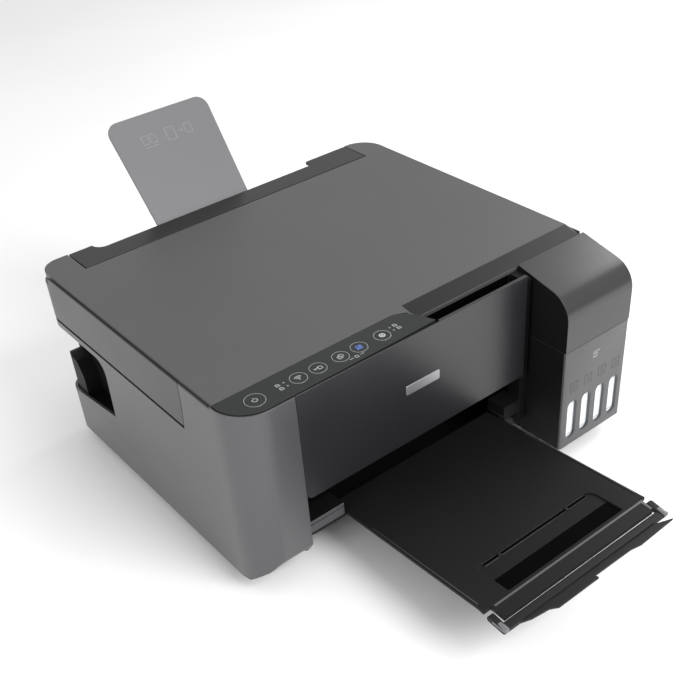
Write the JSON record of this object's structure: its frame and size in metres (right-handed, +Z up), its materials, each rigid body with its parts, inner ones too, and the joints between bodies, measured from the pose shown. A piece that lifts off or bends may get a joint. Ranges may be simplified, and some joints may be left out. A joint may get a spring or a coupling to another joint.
{
  "type": "inkjet printer",
  "caption": "Ink tank inkjet printer with flatbed scanner, hinged cover, rear paper feed, sliding output tray and front ink tank unit.",
  "frame": {"origin": "middle of the whole object's box at the surface it stands on", "axes": "+X to the printer's right side as a user faces it, +Y from the output tray to the rear, +Z up"},
  "size_m": [0.375, 0.5538, 0.2533],
  "materials": {
    "body": "fine texture",
    "lid": "fine texture",
    "panel": "satin",
    "dark": "fine texture",
    "grey": "satin",
    "white": "smooth",
    "tank": "translucent",
    "glass": "clear",
    "steel": "plain",
    "rubber": "matt"
  },
  "bodies": {
    "base": {"base_pan": "dark", "foot_front_left": "rubber", "foot_front_right": "rubber", "foot_rear_left": "rubber", "foot_rear_right": "rubber", "left_side_cover": "body", "grip_housing": "dark", "right_side_cover": "body", "rear_cover": "body", "front_lip": "body", "front_panel": "panel", "control_panel": "panel", "hinge_bracket_left": "steel", "hinge_bracket_right": "steel", "hopper": "dark", "tank_housing": "body", "ink_tanks": "tank", "filler_deck": "dark", "frame_plate_left": "steel", "frame_plate_right": "steel", "guide_rail": "steel", "timing_belt": "rubber", "carriage_motor": "steel", "feed_motor": "steel", "platen": "dark", "power_supply": "dark", "power_inlet": "dark", "ink_tube_ribbon": "tank"},
    "scanner_unit": {"scanner_base": "body", "scanner_glass": "glass", "scan_rail": "steel"},
    "scan_carriage": {"scan_head": "dark"},
    "cover": {"document_cover": "lid", "lid_mat": "white"},
    "guard": {"feeder_guard": "body"},
    "guide": {"edge_guide": "grey"},
    "support": {"paper_support": "grey"},
    "tray": {"output_tray": "dark"},
    "stopper": {"paper_stopper": "body"},
    "tank_lid": {"tank_cover": "body"},
    "cap_1": {"tank_cap_1": "dark"},
    "cap_2": {"tank_cap_2": "dark"},
    "cap_3": {"tank_cap_3": "dark"},
    "cap_4": {"tank_cap_4": "dark"},
    "key_power": {"button_power": "panel"},
    "key_wireless": {"button_wireless": "panel"},
    "key_network_status": {"button_network_status": "panel"},
    "key_copy_mono": {"button_copy_mono": "panel"},
    "key_copy_color": {"button_copy_color": "panel"},
    "key_stop": {"button_stop": "panel"},
    "print_carriage": {"carriage": "dark"},
    "pulley_drive": {"drive_pulley": "steel"},
    "pulley_idler": {"idler_pulley": "steel"},
    "feed_shaft": {"feed_roller": "steel", "feed_gear": "white"},
    "exit_shaft": {"exit_roller": "rubber", "exit_gear": "white"},
    "idler": {"idler_gear": "white"},
    "pinion": {"motor_pinion": "white"},
    "pickup": {"pickup_roller": "rubber"}
  },
  "joints": [
    {"name": "scanner_open", "type": "hinge", "parent": "base", "child": "scanner_unit", "pos_m": [0, 0.20759, 0.1725], "axis": [-1, 0, 0], "range_deg": [0, 30]},
    {"name": "cover_open", "type": "hinge", "parent": "scanner_unit", "child": "cover", "pos_m": [0, 0.21609, 0.1763], "axis": [-1, 0, 0], "range_deg": [0, 72]},
    {"name": "guard_open", "type": "hinge", "parent": "base", "child": "guard", "pos_m": [0, 0.18399, 0.1775], "axis": [-1, 0, 0], "range_deg": [-80, 0]},
    {"name": "tank_cover_open", "type": "hinge", "parent": "base", "child": "tank_lid", "pos_m": [0.1475, -0.07591, 0.1755], "axis": [-1, 0, 0], "range_deg": [0, 78]},
    {"name": "cap_1_open", "type": "hinge", "parent": "base", "child": "cap_1", "pos_m": [0.1215, -0.08541, 0.1172], "axis": [-1, 0, 0], "range_deg": [0, 85]},
    {"name": "cap_2_open", "type": "hinge", "parent": "base", "child": "cap_2", "pos_m": [0.1395, -0.08541, 0.1172], "axis": [-1, 0, 0], "range_deg": [0, 85]},
    {"name": "cap_3_open", "type": "hinge", "parent": "base", "child": "cap_3", "pos_m": [0.1575, -0.08541, 0.1172], "axis": [-1, 0, 0], "range_deg": [0, 85]},
    {"name": "cap_4_open", "type": "hinge", "parent": "base", "child": "cap_4", "pos_m": [0.1755, -0.08541, 0.1172], "axis": [-1, 0, 0], "range_deg": [0, 85]},
    {"name": "stopper_fold", "type": "hinge", "parent": "tray", "child": "stopper", "pos_m": [0, -0.25341, 0.04974], "axis": [-1, 0, 0], "range_deg": [0, 140]},
    {"name": "tray_slide", "type": "slide", "parent": "base", "child": "tray", "axis": [0, 0.9979, -0.0645], "range_m": [0, 0.15]},
    {"name": "support_slide", "type": "slide", "parent": "base", "child": "support", "axis": [0, 0.6293, 0.7771], "range_m": [-0.09, 0]},
    {"name": "guide_slide", "type": "slide", "parent": "base", "child": "guide", "axis": [1, 0, 0], "range_m": [0, 0.12]},
    {"name": "press_power", "type": "slide", "parent": "base", "child": "key_power", "axis": [0, 0, -1], "range_m": [0, 0.0008], "stiffness_N_per_m": 400},
    {"name": "press_wireless", "type": "slide", "parent": "base", "child": "key_wireless", "axis": [0, 0, -1], "range_m": [0, 0.0008], "stiffness_N_per_m": 400},
    {"name": "press_network_status", "type": "slide", "parent": "base", "child": "key_network_status", "axis": [0, 0, -1], "range_m": [0, 0.0008], "stiffness_N_per_m": 400},
    {"name": "press_copy_mono", "type": "slide", "parent": "base", "child": "key_copy_mono", "axis": [0, 0, -1], "range_m": [0, 0.0008], "stiffness_N_per_m": 400},
    {"name": "press_copy_color", "type": "slide", "parent": "base", "child": "key_copy_color", "axis": [0, 0, -1], "range_m": [0, 0.0008], "stiffness_N_per_m": 400},
    {"name": "press_stop", "type": "slide", "parent": "base", "child": "key_stop", "axis": [0, 0, -1], "range_m": [0, 0.0008], "stiffness_N_per_m": 400},
    {"name": "scan_slide", "type": "slide", "parent": "scanner_unit", "child": "scan_carriage", "axis": [1, 0, 0], "range_m": [0, 0.28]},
    {"name": "carriage_slide", "type": "slide", "parent": "base", "child": "print_carriage", "axis": [1, 0, 0], "range_m": [-0.255, 0]},
    {"name": "drive_pulley_spin", "type": "hinge", "parent": "base", "child": "pulley_drive", "pos_m": [0.1425, 0.08809, 0.108], "axis": [0, 1, 0], "continuous": true},
    {"name": "idler_pulley_spin", "type": "hinge", "parent": "base", "child": "pulley_idler", "pos_m": [-0.1535, 0.08809, 0.108], "axis": [0, 1, 0], "continuous": true},
    {"name": "feed_spin", "type": "hinge", "parent": "base", "child": "feed_shaft", "pos_m": [0, 0.07059, 0.08], "axis": [1, 0, 0], "continuous": true},
    {"name": "exit_spin", "type": "hinge", "parent": "base", "child": "exit_shaft", "pos_m": [0, -0.00341, 0.077], "axis": [1, 0, 0], "continuous": true},
    {"name": "idler_spin", "type": "hinge", "parent": "base", "child": "idler", "pos_m": [-0.1725, 0.03018, 0.07247], "axis": [1, 0, 0], "continuous": true},
    {"name": "pinion_spin", "type": "hinge", "parent": "base", "child": "pinion", "pos_m": [-0.1725, 0.09344, 0.064], "axis": [1, 0, 0], "continuous": true},
    {"name": "pickup_spin", "type": "hinge", "parent": "base", "child": "pickup", "pos_m": [0, 0.14006, 0.11374], "axis": [1, 0, 0], "continuous": true}
  ],
  "couplings": [
    {"joint": "drive_pulley_spin", "follows": "carriage_slide", "rad_per_m": 153.85},
    {"joint": "idler_pulley_spin", "follows": "carriage_slide", "rad_per_m": 153.85},
    {"joint": "exit_spin", "follows": "feed_spin", "ratio": 1.5},
    {"joint": "idler_spin", "follows": "feed_spin", "ratio": -1.125},
    {"joint": "pinion_spin", "follows": "feed_spin", "ratio": -3.6},
    {"joint": "pickup_spin", "follows": "feed_spin", "ratio": -1}
  ]
}
